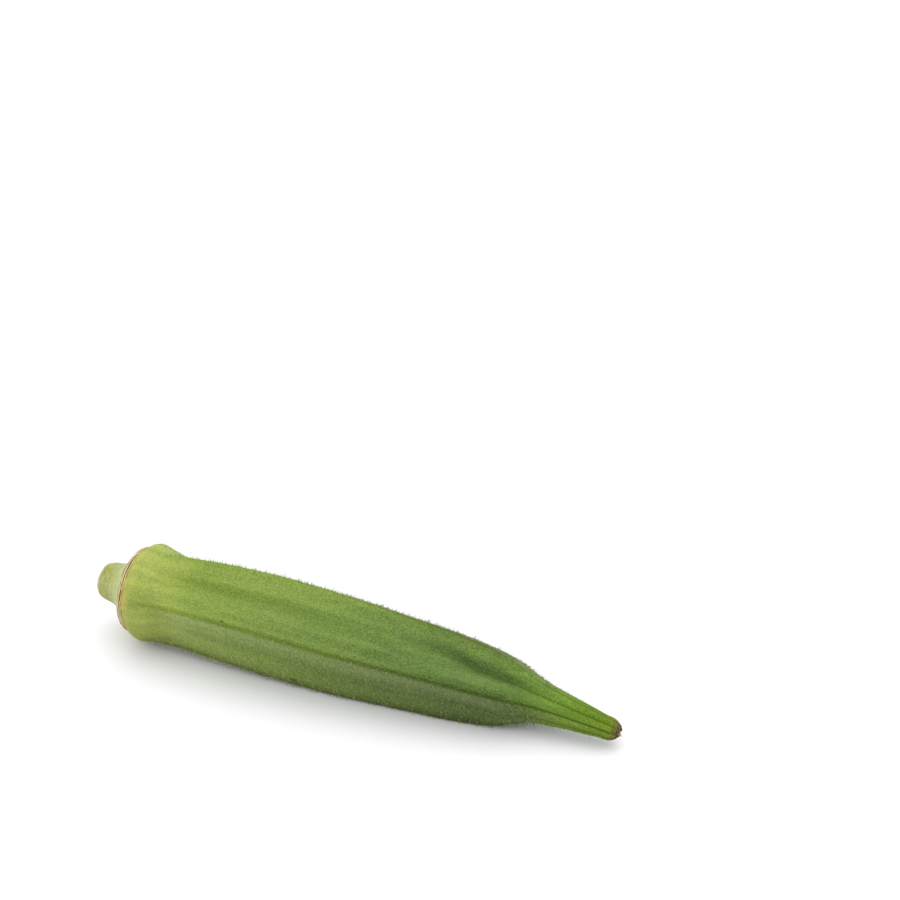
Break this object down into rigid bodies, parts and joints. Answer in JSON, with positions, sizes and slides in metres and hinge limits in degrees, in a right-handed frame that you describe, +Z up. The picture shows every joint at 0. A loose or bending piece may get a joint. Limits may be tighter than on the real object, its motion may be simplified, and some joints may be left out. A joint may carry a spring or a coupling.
{
  "type": "okra pod",
  "caption": "Fresh whole okra pod, five-ridged and slightly bent, with its short cut stem and cap at one end and a blunt tapered tip at the other, lying on its side.",
  "frame": {"origin": "on the surface that the pod lies on, under the middle of the pod's box", "axes": "+X along the pod from the cut stem to the tip, +Z up, with one ridge on top and two ridges below"},
  "size_m": [0.115, 0.0208, 0.0208],
  "materials": {
    "pod_skin": "satin",
    "cap_skin": "satin",
    "dry_tissue": "matte",
    "hairs": "matte"
  },
  "bodies": {
    "root": {"okra_pod": "pod_skin"}
  },
  "joints": []
}
